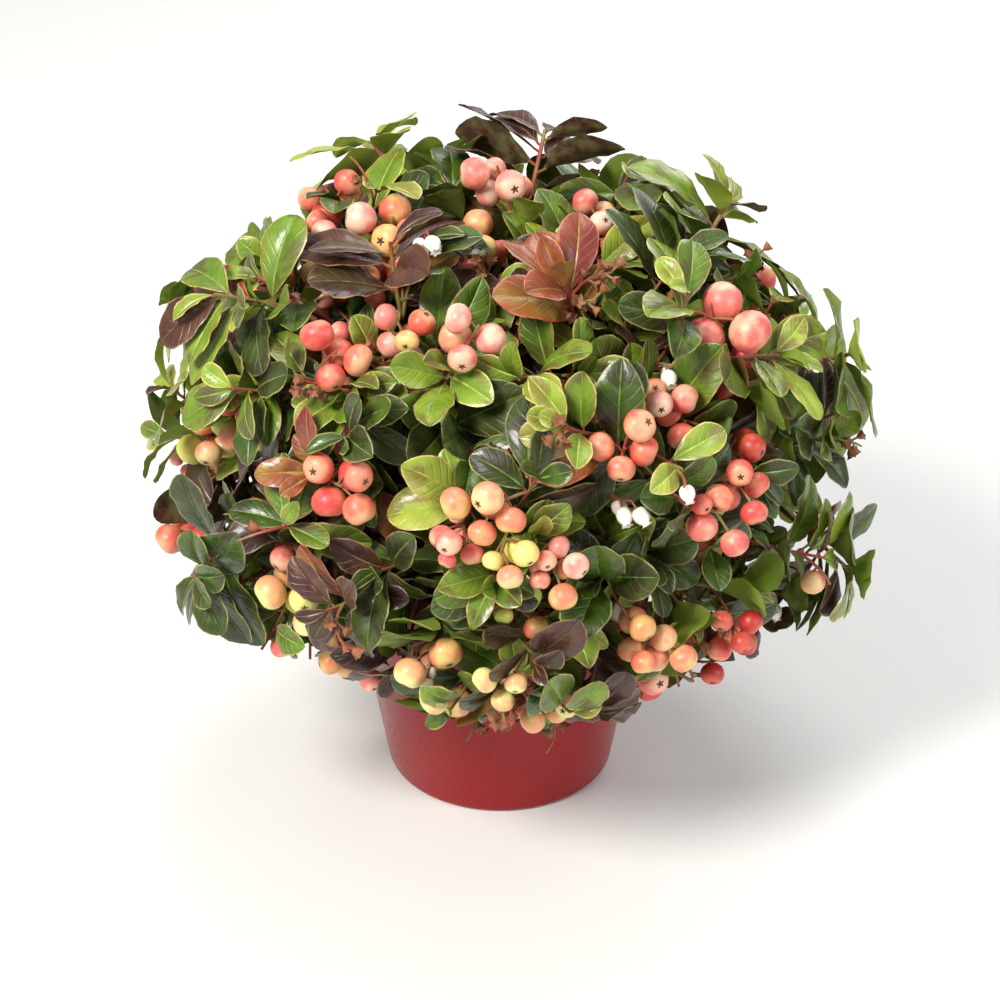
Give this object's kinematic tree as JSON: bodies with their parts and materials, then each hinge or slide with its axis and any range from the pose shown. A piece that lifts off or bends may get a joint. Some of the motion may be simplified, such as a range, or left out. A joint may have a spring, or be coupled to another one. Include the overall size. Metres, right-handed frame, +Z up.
{
  "type": "potted wintergreen plant",
  "caption": "Low evergreen shrub with glossy oval leaves and clusters of round berries, in a tapered round plastic pot filled with peat.",
  "frame": {"origin": "centre of the pot's flat underside, on the surface that the pot stands on", "axes": "+Z up along the pot's axis; -Y towards the viewer of the pictured side, +X to that viewer's right"},
  "size_m": [0.253, 0.2442, 0.2392],
  "materials": {
    "pot": "satin",
    "peat": "matte",
    "bark": "matte",
    "shoot": "satin",
    "foliage": "gloss",
    "leaf_deep": "gloss",
    "leaf_young": "gloss",
    "leaf_bronze": "gloss",
    "leaf_underside": "matte",
    "berry_cream": "satin",
    "berry_peach": "satin",
    "berry_pink": "satin",
    "berry_coral": "satin",
    "berry_red": "satin",
    "flower": "satin"
  },
  "bodies": {
    "root": {"pot": "pot", "peat": "peat", "main_stem": "bark", "bough_skirt_01": "bark", "bough_skirt_02": "bark", "bough_skirt_03": "bark", "bough_skirt_04": "bark", "bough_skirt_05": "bark", "bough_skirt_06": "bark", "bough_skirt_07": "bark", "bough_shoulder_01": "bark", "bough_shoulder_02": "bark", "bough_shoulder_03": "bark", "bough_shoulder_04": "bark", "bough_top": "bark", "foliage_skirt_01": "foliage", "foliage_skirt_02": "foliage", "foliage_skirt_03": "foliage", "foliage_skirt_04": "foliage", "foliage_skirt_05": "foliage", "foliage_skirt_06": "foliage", "foliage_skirt_07": "foliage", "foliage_shoulder_01": "foliage", "foliage_shoulder_02": "foliage", "foliage_shoulder_03": "foliage", "foliage_shoulder_04": "foliage", "foliage_top": "foliage"}
  },
  "joints": []
}
